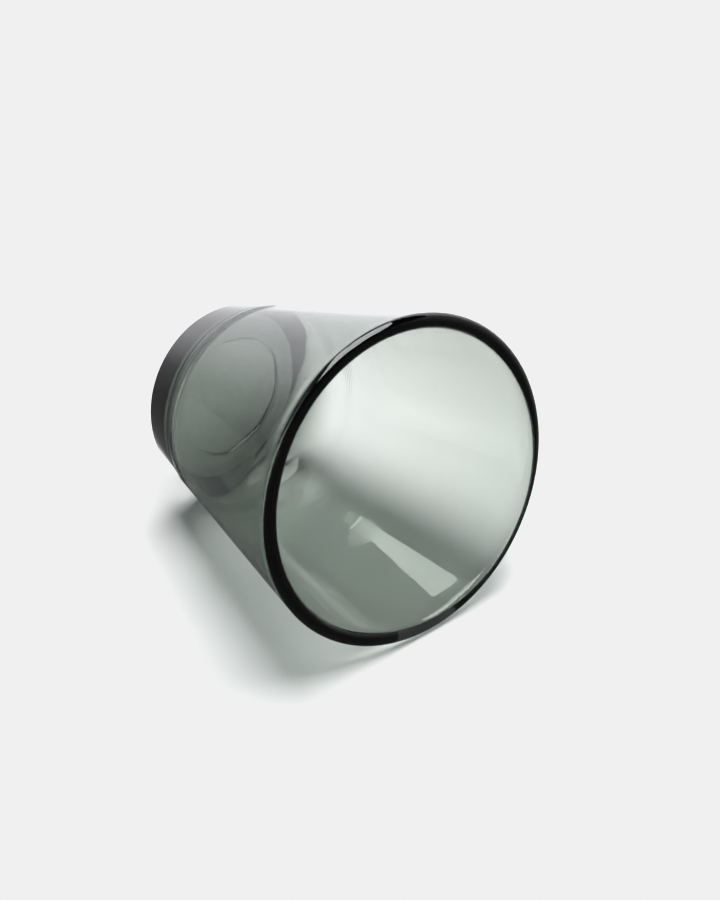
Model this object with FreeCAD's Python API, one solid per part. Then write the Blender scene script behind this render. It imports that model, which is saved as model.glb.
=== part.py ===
import FreeCAD, Part
import math
import os

# A conical drinking tumbler, pressed in one piece of smoked glass.
# Origin: centre of the face it stands on. +Z runs along the axis, up to the mouth. Millimetres.

# Driving dimensions
mouth_diameter = 92.0  # outside, over the rounded lip
height = 84.0  # standing face to the top of the lip
wall_angle = 13.6  # outside of the wall, degrees from the axis
bore_angle = 12.3  # inside of the wall, so that the wall thickens towards the base
lip_radius = 2.1  # the fire-polished lip is a bead, a little thicker than the wall below it
mouth_wall = 3.6  # thickness of the wall just below the bead
bead_blend_radius = 18.0  # hollow round that leads the bore out to the bead
base_thickness = 8.0  # inside floor above the standing face, out by the corner round
bore_corner_radius = 10.0  # between the inside floor and the wall
tip_radius = 17.0  # the plunger's tip sinks the middle of the inside floor, out to this radius
tip_depth = 1.0
tip_slope_width = 1.2  # the step round the tip's mark slopes down over this width
heel_radius = 2.5  # between the standing face and the wall
standing_ring_width = 5.0  # flat ring that the glass stands on
hollow_depth = 0.9  # height of the shallow hollow in the underside, at its centre

# Worked out from the driving dimensions
wall_slope = math.radians(wall_angle)
bore_slope = math.radians(bore_angle)
lip_centre = FreeCAD.Vector(mouth_diameter / 2 - lip_radius, 0, height - lip_radius)
up_the_bore = FreeCAD.Vector(math.sin(bore_slope), 0, math.cos(bore_slope))
into_the_bore = FreeCAD.Vector(-math.cos(bore_slope), 0, math.sin(bore_slope))
bore_line_top = lip_centre + into_the_bore * (mouth_wall - lip_radius)


def on_circle(centre, radius, angle):
    """Point of a circle in the XZ plane, with the angle taken from +X towards +Z."""
    return centre + FreeCAD.Vector(radius * math.cos(angle), 0, radius * math.sin(angle))


def line(start, end):
    return Part.LineSegment(start, end).toShape()


def arc(centre, radius, start, end):
    """Arc in the XZ plane between two angles."""
    ends = [on_circle(centre, radius, angle) for angle in (start, end)]
    middle = on_circle(centre, radius, (start + end) / 2)
    return Part.Arc(ends[0], middle, ends[1]).toShape()


def heel_centre():
    """Centre of the round that touches the standing face and the outside of the wall."""
    foot = lip_centre.x + lip_radius / math.cos(wall_slope) - lip_centre.z * math.tan(wall_slope)
    inset = heel_radius * (1 - math.sin(wall_slope)) / math.cos(wall_slope)
    return FreeCAD.Vector(foot - inset, 0, heel_radius)


def bead_blend():
    """Centre of the hollow round between the bore and the bead, and where it meets the bore."""
    bulge = 2 * lip_radius - mouth_wall
    reach = math.sqrt(bulge * (2 * bead_blend_radius + mouth_wall))
    foot = bore_line_top - up_the_bore * reach
    return foot + into_the_bore * bead_blend_radius, foot


def corner_centre():
    """Centre of the round that touches the inside floor and the inside of the wall."""
    foot = bore_line_top.x - (bore_line_top.z - base_thickness) * math.tan(bore_slope)
    inset = bore_corner_radius * (1 - math.sin(bore_slope)) / math.cos(bore_slope)
    return FreeCAD.Vector(foot - inset, 0, base_thickness + bore_corner_radius)


def underside(heel):
    """Shallow hollow from the axis out to the standing ring, then the ring out to the heel."""
    hollow_radius = heel.x - standing_ring_width
    sphere_radius = (hollow_radius**2 + hollow_depth**2) / (2 * hollow_depth)
    sphere_centre = FreeCAD.Vector(0, 0, hollow_depth - sphere_radius)
    edge_angle = math.acos(hollow_radius / sphere_radius)
    return [
        arc(sphere_centre, sphere_radius, math.pi / 2, edge_angle),
        line(FreeCAD.Vector(hollow_radius, 0, 0), FreeCAD.Vector(heel.x, 0, 0)),
    ]


def outside(heel, lip_end):
    """Heel round, the straight outside of the wall, and the round of the lip in two arcs."""
    wall_foot = on_circle(heel, heel_radius, -wall_slope)
    wall_top = on_circle(lip_centre, lip_radius, -wall_slope)
    return [
        arc(heel, heel_radius, -math.pi / 2, -wall_slope),
        line(wall_foot, wall_top),
        arc(lip_centre, lip_radius, -wall_slope, math.pi / 2),
        arc(lip_centre, lip_radius, math.pi / 2, lip_end),
    ]


def inside(corner, blend, lip_end):
    """Blend below the lip, straight wall, corner round, then the floor with the plunger tip's mark."""
    blend_centre, bore_top = blend
    bore_foot = on_circle(corner, bore_corner_radius, -bore_slope)
    floor_edge = FreeCAD.Vector(corner.x, 0, base_thickness)
    step_top = FreeCAD.Vector(tip_radius + tip_slope_width / 2, 0, base_thickness)
    step_foot = FreeCAD.Vector(tip_radius - tip_slope_width / 2, 0, base_thickness - tip_depth)
    return [
        arc(blend_centre, bead_blend_radius, lip_end - math.pi, -bore_slope),
        line(bore_top, bore_foot),
        arc(corner, bore_corner_radius, -bore_slope, -math.pi / 2),
        line(floor_edge, step_top),
        line(step_top, step_foot),
        line(step_foot, FreeCAD.Vector(0, 0, base_thickness - tip_depth)),
    ]


def tumbler():
    """The whole glass is one section turned about the axis."""
    bottom = FreeCAD.Vector(0, 0, hollow_depth)
    floor = FreeCAD.Vector(0, 0, base_thickness - tip_depth)
    heel = heel_centre()
    blend = bead_blend()
    to_blend = blend[0] - lip_centre
    lip_end = math.atan2(to_blend.z, to_blend.x) % (2 * math.pi)
    section = underside(heel) + outside(heel, lip_end)
    section += inside(corner_centre(), blend, lip_end) + [line(floor, bottom)]
    outline = Part.Wire(Part.__sortEdges__(section))
    return Part.Face(outline).revolve(FreeCAD.Vector(), FreeCAD.Vector(0, 0, 1), 360)


shape = tumbler()
os.makedirs("parts", exist_ok=True)
shape.exportStep("parts/tumbler_glass.step")

box = shape.optimalBoundingBox(False)
print("valid", shape.isValid(), "solids", len(shape.Solids), "volume ml", round(shape.Volume / 1000, 1))
sides = [round(side, 2) for side in (box.XLength, box.YLength, box.ZLength)]
print("size", sides, "base z", round(box.ZMin, 3))
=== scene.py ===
import math

import bmesh
import bpy
from mathutils import Matrix, Vector


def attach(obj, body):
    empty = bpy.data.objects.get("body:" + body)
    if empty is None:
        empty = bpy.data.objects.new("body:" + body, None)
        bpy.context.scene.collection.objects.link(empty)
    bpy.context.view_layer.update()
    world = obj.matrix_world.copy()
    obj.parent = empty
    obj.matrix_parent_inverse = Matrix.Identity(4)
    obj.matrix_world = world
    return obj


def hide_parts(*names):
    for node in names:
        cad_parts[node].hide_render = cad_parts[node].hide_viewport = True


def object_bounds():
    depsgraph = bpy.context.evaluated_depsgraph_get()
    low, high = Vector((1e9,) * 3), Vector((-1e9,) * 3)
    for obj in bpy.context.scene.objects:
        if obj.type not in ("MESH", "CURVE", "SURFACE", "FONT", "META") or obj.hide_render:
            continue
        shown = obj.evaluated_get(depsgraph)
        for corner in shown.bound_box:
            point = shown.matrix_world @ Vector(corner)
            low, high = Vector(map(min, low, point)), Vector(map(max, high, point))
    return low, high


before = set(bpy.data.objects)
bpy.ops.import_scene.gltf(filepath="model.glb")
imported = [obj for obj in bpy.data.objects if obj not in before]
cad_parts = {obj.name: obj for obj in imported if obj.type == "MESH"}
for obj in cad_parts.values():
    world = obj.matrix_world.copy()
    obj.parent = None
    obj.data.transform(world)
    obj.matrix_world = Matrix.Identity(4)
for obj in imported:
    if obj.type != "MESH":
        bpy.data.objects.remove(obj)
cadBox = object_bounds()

mm = 0.001
print("frame loaded, the glass is", round(cadBox[1].z / mm, 1), "mm high")


# one wrapped socket, so that shader maths reads as plain expressions
class Socket:
    def __init__(self, shader, link):
        self.shader = shader
        self.link = link

    def maths(self, operation, first, second):
        return self.shader.node("ShaderNodeMath", {"operation": operation}, {0: first, 1: second})

    def __add__(self, other):
        return self.maths("ADD", self, other)

    def __radd__(self, other):
        return self.maths("ADD", other, self)

    def __mul__(self, other):
        return self.maths("MULTIPLY", self, other)

    def __rmul__(self, other):
        return self.maths("MULTIPLY", other, self)


class Shader:
    def __init__(self, owner):
        owner.use_nodes = True
        self.tree = owner.node_tree
        self.tree.nodes.clear()

    def node(self, kind, settings=None, inputs=None, output=0):
        made = self.tree.nodes.new(kind)
        for name, value in (settings or {}).items():
            if name == "stops":
                while len(made.color_ramp.elements) < len(value):
                    made.color_ramp.elements.new(0.5)
                for element, (place, level) in zip(made.color_ramp.elements, value):
                    element.position = place
                    element.color = (level, level, level, 1)
            else:
                setattr(made, name, value)
        for name, value in (inputs or {}).items():
            if isinstance(value, Socket):
                self.tree.links.new(value.link, made.inputs[name])
            else:
                made.inputs[name].default_value = value
        return Socket(self, made.outputs[output]) if made.outputs else None


glassShape = {
    "wallAngle": 13.6,  # outside of the wall, degrees from the axis
    "boreAngle": 12.3,
    "lipRadius": 2.1 * mm,
    "wallAtMouth": 3.6 * mm,
    "beadBlend": 18.0 * mm,  # round that leads the bore out to the thicker rim
    "baseThickness": 8.0 * mm,
    "boreCornerRadius": 10.0 * mm,
    "tipRadius": 17.0 * mm,  # the tip of the plunger sinks the middle of the bore floor
    "tipDepth": 1.0 * mm,
    "tipSlope": 1.2 * mm,
    "heelRadius": 2.5 * mm,
    "standingRing": 5.0 * mm,
    "hollowDepth": 0.9 * mm,
    "ringZone": 22.0 * mm,  # height of wall above the heel that has close points
    "turns": 320,  # faces round the glass
    "onAxis": 0.001 * mm,  # a point nearer to the axis than this is on it
}
toolMarks = {
    # fine rings left by the mould: foot, pitch, how many, depth
    "outside": ((13.4 * mm, 2.4 * mm, 1, 0.07 * mm), (15.6 * mm, 0.62 * mm, 10, 0.07 * mm)),
    "tipWaves": ((2, 0.012, 0.6), (3, 0.016, 2.1), (5, 0.012, 4.0), (9, 0.007, 1.0), (17, 0.003, 2.0)),
    "waves": ((2, 0.020 * mm, 0.4), (3, 0.016 * mm, 1.9), (5, 0.010 * mm, 3.3), (8, 0.005 * mm, 5.1)),
}


def arcPoints(centre, radius, start, end, steps):
    return [
        (centre[0] + radius * math.cos(a), centre[1] + radius * math.sin(a))
        for a in (start + (end - start) * i / steps for i in range(steps + 1))
    ]


def linePoints(start, end, steps):
    return [
        (start[0] + (end[0] - start[0]) * i / steps, start[1] + (end[1] - start[1]) * i / steps)
        for i in range(1, steps)
    ]


def ringed(points, marks):
    # sinks shallow grooves into a run of wall points
    cut = []
    for radius, height in points:
        for foot, pitch, count, depth in marks:
            phase = (height - foot) / pitch
            if 0 < phase < count:
                fade = math.sin(math.pi * phase / count) ** 0.5
                radius -= depth * fade * (1 - math.cos(2 * math.pi * phase)) / 2
        cut.append((radius, height))
    return cut


def glassOutline(shape, marks):
    # (radius, height) points from the middle of the underside, round the lip, to the middle of the bore
    wall, bore = math.radians(shape["wallAngle"]), math.radians(shape["boreAngle"])
    lip = shape["lipRadius"]
    lipCentre = (cadBox[1].x - lip, cadBox[1].z - lip)
    heel, corner = shape["heelRadius"], shape["boreCornerRadius"]
    foot = lipCentre[0] + lip / math.cos(wall) - lipCentre[1] * math.tan(wall)
    heelCentre = (foot - heel * (1 - math.sin(wall)) / math.cos(wall), heel)

    inset = shape["wallAtMouth"] - lip  # from the lip's centre to the bore's straight wall
    blend = shape["beadBlend"]
    reach = math.sqrt((lip - inset) * (2 * blend + lip + inset))
    along, inward = (math.sin(bore), math.cos(bore)), (-math.cos(bore), math.sin(bore))
    wallPoint = [lipCentre[i] + inward[i] * inset for i in (0, 1)]
    blendFoot = [wallPoint[i] - along[i] * reach for i in (0, 1)]
    blendCentre = [blendFoot[i] + inward[i] * blend for i in (0, 1)]
    lipEnd = math.atan2(blendCentre[1] - lipCentre[1], blendCentre[0] - lipCentre[0]) % (2 * math.pi)

    depth = wallPoint[1] - shape["baseThickness"]
    boreFoot = wallPoint[0] - depth * math.tan(bore)
    cornerInset = corner * (1 - math.sin(bore)) / math.cos(bore)
    cornerCentre = (boreFoot - cornerInset, shape["baseThickness"] + corner)
    hollow, rim = shape["hollowDepth"], heelCentre[0] - shape["standingRing"]
    hollowRadius = (rim**2 + hollow**2) / (2 * hollow)

    hollowCentre, hollowEdge = (0, hollow - hollowRadius), math.acos(rim / hollowRadius)
    underside = arcPoints(hollowCentre, hollowRadius, math.pi / 2, hollowEdge, 24)
    heelRound = arcPoints(heelCentre, heel, -math.pi / 2, -wall, 16)
    lipRound = arcPoints(lipCentre, lip, -wall, lipEnd, 40)
    blendRound = arcPoints(blendCentre, blend, lipEnd - math.pi, -bore, 20)[1:]
    cornerRound = arcPoints(cornerCentre, corner, -bore, -math.pi / 2, 32)
    middle = (0, shape["baseThickness"])
    boreFloor = linePoints(cornerRound[-1], middle, 120) + [middle]
    # close points where the mould rings are, wider ones up the plain wall
    foot, top = heelRound[-1], lipRound[0]
    share = shape["ringZone"] / (top[1] - foot[1])
    ringsEnd = tuple(foot[i] + (top[i] - foot[i]) * share for i in (0, 1))
    wallRun = linePoints(foot, ringsEnd, 260) + [ringsEnd] + linePoints(ringsEnd, top, 60)
    outer = ringed(wallRun, marks["outside"])
    inner = linePoints(blendRound[-1], cornerRound[0], 60)
    return underside + heelRound + outer + lipRound + blendRound + inner + cornerRound + boreFloor


def pressedPoint(radius, height, angle, marks, shape):
    # the plunger leaves the bore a little out of round, and the tip's outline a little wavy
    swell = sum(size * math.sin(n * angle + shift) for n, size, shift in marks["waves"])
    depth = cadBox[1].z - shape["baseThickness"]
    fade = math.sin(math.pi * min(1, max(0, (height - shape["baseThickness"]) / depth)))
    lump = 1 + sum(size * math.sin(n * angle + shift) for n, size, shift in marks["tipWaves"])
    across = min(1, max(-1, 2 * (radius - shape["tipRadius"] * lump) / shape["tipSlope"]))
    step = shape["tipDepth"] * (1 - math.sin(math.pi * across / 2)) / 2
    return radius + swell * fade, height - step


def spin(outline, shape, marks, boreStart, name):
    # turns an outline about Z; its two ends lie on the axis, and the points from boreStart on are pressed
    turns = shape["turns"]
    mesh = bmesh.new()
    rings = []
    for index, (radius, height) in enumerate(outline):
        pressed = index >= boreStart
        if radius < shape["onAxis"]:
            sunk = shape["tipDepth"] if pressed else 0
            rings.append([mesh.verts.new((0, 0, height - sunk))])
            continue
        ring = []
        for i in range(turns):
            angle = 2 * math.pi * i / turns
            out, up = pressedPoint(radius, height, angle, marks, shape) if pressed else (radius, height)
            ring.append(mesh.verts.new((out * math.cos(angle), out * math.sin(angle), up)))
        rings.append(ring)
    for low, high in zip(rings, rings[1:]):
        for i in range(turns):
            j = (i + 1) % turns
            if len(low) == 1:
                mesh.faces.new((low[0], high[j], high[i]))
            elif len(high) == 1:
                mesh.faces.new((low[i], low[j], high[0]))
            else:
                mesh.faces.new((low[i], low[j], high[j], high[i]))
    for face in mesh.faces:
        face.smooth = True
    data = bpy.data.meshes.new(name)
    mesh.to_mesh(data)
    mesh.free()
    made = bpy.data.objects.new(name, data)
    bpy.context.scene.collection.objects.link(made)
    return made


smokedGlass = {
    "tint": (0.447, 0.50, 0.462),
    "density": 360.0,  # per metre
    "ior": 1.51,
    "tones": ((0.975, 1.0, 0.985), (1.0, 0.99, 0.975)),
    "toneScale": 30.0,
    "smudgeScale": 55.0,
    "smudges": (0.50, 0.72, 0.004, 0.035),  # noise from and to, roughness clean and smudged
    "rippleScale": 75.0,  # soft waves of the pressed skin
    "rippleDepth": 0.035 * mm,
    "grainScale": 1100.0,
    "grainDepth": 0.0012 * mm,
    "speckScale": 105.0,
    "speckSize": (0.016, 0.026),
    "speckColour": (0.22, 0.24, 0.23),
}


def smokedGlassMaterial(look):
    material = bpy.data.materials.new("smokedGlass")
    shader = Shader(material)
    place = shader.node("ShaderNodeTexCoord", None, None, "Object")

    def noise(scale, detail):
        return shader.node("ShaderNodeTexNoise", None, {"Vector": place, "Scale": scale, "Detail": detail})

    def ranged(value, low, high, first, last):
        steps = {"From Min": low, "From Max": high, "To Min": first, "To Max": last}
        return shader.node("ShaderNodeMapRange", None, {"Value": value, **steps})

    def mixed(first, second, part):
        return shader.node("ShaderNodeMix", {"data_type": "RGBA"}, {0: part, 6: first, 7: second}, 2)

    lightTone, warmTone = ((*tone, 1) for tone in look["tones"])
    tone = mixed(lightTone, warmTone, noise(look["toneScale"], 2.0))
    specks = shader.node("ShaderNodeTexVoronoi", None, {"Vector": place, "Scale": look["speckScale"]})
    speck = ranged(specks, *look["speckSize"], 1.0, 0.0)
    ripple = noise(look["rippleScale"], 1.0) * look["rippleDepth"]
    skin = ripple + noise(look["grainScale"], 2.0) * look["grainDepth"]
    surface = shader.node(
        "ShaderNodeBsdfPrincipled",
        None,
        {
            "Base Color": mixed(tone, (*look["speckColour"], 1), speck),
            "Roughness": ranged(noise(look["smudgeScale"], 4.0), *look["smudges"]),
            "Normal": shader.node("ShaderNodeBump", None, {"Height": skin, "Distance": 1.0}),
            "IOR": look["ior"],
            "Transmission Weight": 1.0,
        },
    )
    volume = shader.node(
        "ShaderNodeVolumeAbsorption", None, {"Color": (*look["tint"], 1), "Density": look["density"]}
    )
    shader.node("ShaderNodeOutputMaterial", None, {"Surface": surface, "Volume": volume})
    return material


outline = glassOutline(glassShape, toolMarks)
boreStart = max(range(len(outline)), key=lambda i: outline[i][1])  # top of the lip
tumbler = spin(outline, glassShape, toolMarks, boreStart, "tumbler_glass_body")
tumbler.data.materials.append(smokedGlassMaterial(smokedGlass))
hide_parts("tumbler_glass")
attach(tumbler, "root")
print("glass turned:", len(tumbler.data.vertices), "points")

# the glass lies on its wall, so the floor touches the cone along one straight line
stage = {
    "restTurn": 135.0,  # side of the glass that touches the floor, degrees round +Z from +X
    "floorSize": 0.8,
    "floorColour": (0.8, 0.8, 0.8),
    "floorGap": 0.02 * mm,  # between the floor and the glass
}
turn, lean = math.radians(stage["restTurn"]), math.radians(glassShape["wallAngle"])
restSide = Vector((math.cos(turn), math.sin(turn), 0))
axis = Vector((0, 0, 1))
floorUp = math.sin(lean) * axis - math.cos(lean) * restSide
restLine = math.cos(lean) * axis + math.sin(lean) * restSide  # from the base to the mouth
lipRest = Vector((0, 0, cadBox[1].z - glassShape["lipRadius"]))
lipRest += restSide * (cadBox[1].x - glassShape["lipRadius"]) - floorUp * glassShape["lipRadius"]


def sheet(name, rows, material):
    # a flat or bent sheet from rows of points; U of its UV map runs along the rows
    mesh = bmesh.new()
    grid = [[mesh.verts.new(point) for point in row] for row in rows]
    uv = mesh.loops.layers.uv.new("along")
    steps = len(rows[0]) - 1
    for j in range(len(rows) - 1):
        for i in range(steps):
            face = mesh.faces.new((grid[j][i], grid[j][i + 1], grid[j + 1][i + 1], grid[j + 1][i]))
            for loop, (x, y) in zip(face.loops, ((i, j), (i + 1, j), (i + 1, j + 1), (i, j + 1))):
                loop[uv].uv = (x / steps, y)
    data = bpy.data.meshes.new(name)
    mesh.to_mesh(data)
    mesh.free()
    data.materials.append(material)
    made = bpy.data.objects.new(name, data)
    bpy.context.scene.collection.objects.link(made)
    return made


def floorMaterial(look):
    material = bpy.data.materials.new("paleFloor")
    shader = Shader(material)
    paper = shader.node("ShaderNodeBsdfDiffuse", None, {"Color": (*look["floorColour"], 1)})
    clear = shader.node("ShaderNodeBsdfTransparent")
    behind = shader.node("ShaderNodeNewGeometry", None, None, "Backfacing")
    mixed = shader.node("ShaderNodeMixShader", None, {0: behind, 1: paper, 2: clear})
    shader.node("ShaderNodeOutputMaterial", None, {"Surface": mixed})
    return material


def layFloor(look):
    half = look["floorSize"] / 2
    across = floorUp.cross(restLine)
    middle = lipRest - floorUp * look["floorGap"]
    rows = [[middle + restLine * x + across * y for x in (-half, half)] for y in (-half, half)]
    sheet("pale_floor", rows, floorMaterial(look))


layFloor(stage)

camera = {
    "aimHeight": 82.3 * mm,  # point on the axis, near the mouth, that the lengths below are taken from
    "lens": 112.0,
    "sensorWidth": 36.0,
    "near": 0.01,
    "far": 100.0,
    "distance": 735.2 * mm,
    "height": 39.35,  # degrees above the floor
    "swing": 141.27,  # from looking along the resting line, degrees
    "mouthRight": 11.9 * mm,  # the aim point sits right of and below the middle of the view
    "mouthDown": 8.35 * mm,
}


def placeCamera(rig):
    height, swing = math.radians(rig["height"]), math.radians(rig["swing"])
    ahead = Matrix.Rotation(swing, 3, floorUp) @ restLine
    forward = math.cos(height) * ahead - math.sin(height) * floorUp
    right = forward.cross(floorUp).normalized()
    up = right.cross(forward)
    mouth = Vector((0, 0, rig["aimHeight"]))
    place = mouth - forward * rig["distance"] - right * rig["mouthRight"] + up * rig["mouthDown"]
    data = bpy.data.cameras.new("photographer")
    data.lens = rig["lens"]
    data.sensor_width = rig["sensorWidth"]
    data.clip_start, data.clip_end = rig["near"], rig["far"]
    made = bpy.data.objects.new("photographer", data)
    made.matrix_world = Matrix.Translation(place) @ Matrix((right, up, -forward)).transposed().to_4x4()
    bpy.context.scene.collection.objects.link(made)
    bpy.context.scene.camera = made
    return right, ahead


right, ahead = placeCamera(camera)
glassMiddle = Vector((0, 0, cadBox[1].z / 2))
glassFloor = glassMiddle + floorUp * (lipRest - glassMiddle).dot(floorUp)
print("camera placed")

studio = {
    "boxRight": 0.069,  # middle of the softbox, from the glass, along the floor
    "boxAhead": 0.197,
    "boxHeight": 0.65,
    "boxWide": 0.56,
    "boxDeep": 0.75,
    "boxTurn": 24.0,
    "boxPower": 13.0,
    "roomTint": (0.6, 0.75, 1.0),
    "roomLevel": 0.06,
    "backdropLevel": 0.9,
    "bounces": 32,
    "glossyBounces": 16,
    "whiteLevel": 0.871,  # the brightest value shown
}
# a pale glowing wall and ground that only reflections see, a painted reflection in the glass: bright ahead,
# falling off to dark at the left and behind
paintedReflectionSheet = {
    "right": -0.045,
    "ahead": 0.02,
    "innerRadius": 0.002,
    "radius": 0.40,
    "height": 0.32,
    "steps": 180,
    "lift": 1.0 * mm,
    "glow": 2.0,
    "tint": (0.965, 0.965, 1.0),
    # degrees round from straight ahead, to the right, and how bright the painted reflection is there
    "levels": (
        *((-180, 0.06), (-110, 0.05), (-75, 0.08), (-56, 0.12), (-46, 0.28), (-38, 0.65)),
        *((-28, 0.95), (-15, 1.0), (40, 1.0), (70, 0.3), (110, 0.06)),
    ),
}


def glowMaterial(name, look):
    material = bpy.data.materials.new(name)
    shader = Shader(material)
    colour = (*look["tint"], 1)
    along = shader.node("ShaderNodeUVMap", {"uv_map": "along"})
    place = shader.node("ShaderNodeSeparateXYZ", None, {0: along})
    # glow set by angle round the glass, which paints the glass's reflections bright or dark
    stops = [((angle + 180) / 360, level) for angle, level in look["levels"]]
    level = shader.node("ShaderNodeValToRGB", {"stops": stops}, {0: place})
    colour = shader.node(
        "ShaderNodeMix", {"data_type": "RGBA", "blend_type": "MULTIPLY"}, {0: 1.0, 6: colour, 7: level}, 2
    )
    glow = shader.node("ShaderNodeEmission", None, {"Color": colour, "Strength": look["glow"]})
    shader.node("ShaderNodeOutputMaterial", None, {"Surface": glow})
    return material


def seenInGloss(card):
    card.visible_camera = False
    card.visible_diffuse = False
    card.visible_transmission = False
    card.visible_shadow = False


def raisePaintedReflectionSheet(look):
    middle = glassFloor + right * look["right"] + ahead * look["ahead"]
    rows = []
    turns = [2 * math.pi * i / look["steps"] - math.pi for i in range(look["steps"] + 1)]
    ways = [ahead * math.cos(turned) + right * math.sin(turned) for turned in turns]
    near, reach = (look["innerRadius"], look["lift"]), look["radius"]
    for reach, height in (near, (reach, look["lift"]), (reach, look["height"])):
        rows.append([middle + way * reach + floorUp * height for way in ways])
    # the sheet glows though it is no lamp, and only reflections see it: a painted reflection
    seenInGloss(sheet("paintedReflectionSheet", rows, glowMaterial("paintedReflectionGlow", look)))


def studioWorld(look):
    world = bpy.data.worlds.new("studio")
    bpy.context.scene.world = world
    shader = Shader(world)
    # the room stays dim for light and reflections, and only the camera sees the pale backdrop
    room = shader.node(
        "ShaderNodeBackground", None, {"Color": (*look["roomTint"], 1), "Strength": look["roomLevel"]}
    )
    backdrop = shader.node(
        "ShaderNodeBackground", None, {"Color": (1, 1, 1, 1), "Strength": look["backdropLevel"]}
    )
    seen = shader.node("ShaderNodeLightPath", None, None, "Is Camera Ray")
    mixed = shader.node("ShaderNodeMixShader", None, {0: seen, 1: room, 2: backdrop})
    shader.node("ShaderNodeOutputWorld", None, {"Surface": mixed})


def hangSoftbox(look):
    place = glassMiddle + right * look["boxRight"] + ahead * look["boxAhead"] + floorUp * look["boxHeight"]
    data = bpy.data.lights.new("softbox", "AREA")
    data.shape = "RECTANGLE"
    data.size = look["boxWide"]
    data.size_y = look["boxDeep"]
    data.energy = look["boxPower"]
    made = bpy.data.objects.new("softbox", data)
    turned = Matrix.Rotation(math.radians(look["boxTurn"]), 3, floorUp)
    facing = Matrix((turned @ right, turned @ ahead, floorUp)).transposed().to_4x4()
    made.matrix_world = Matrix.Translation(place) @ facing
    made.visible_camera = False
    bpy.context.scene.collection.objects.link(made)


studioWorld(studio)
hangSoftbox(studio)
raisePaintedReflectionSheet(paintedReflectionSheet)
cycles = bpy.context.scene.cycles
cycles.max_bounces = studio["bounces"]
cycles.transmission_bounces = studio["bounces"]
cycles.glossy_bounces = studio["glossyBounces"]
cycles.transparent_max_bounces = studio["bounces"]
cycles.caustics_reflective = True
cycles.caustics_refractive = True
cycles.blur_glossy = 0.0
cycles.sample_clamp_indirect = 0.0
display = bpy.context.scene.view_settings
display.view_transform = "Standard"
display.use_curve_mapping = True
display.curve_mapping.extend = "HORIZONTAL"
top = display.curve_mapping.curves[3].points[-1]
top.location = (1.0, studio["whiteLevel"])
display.curve_mapping.update()
print("studio lit")
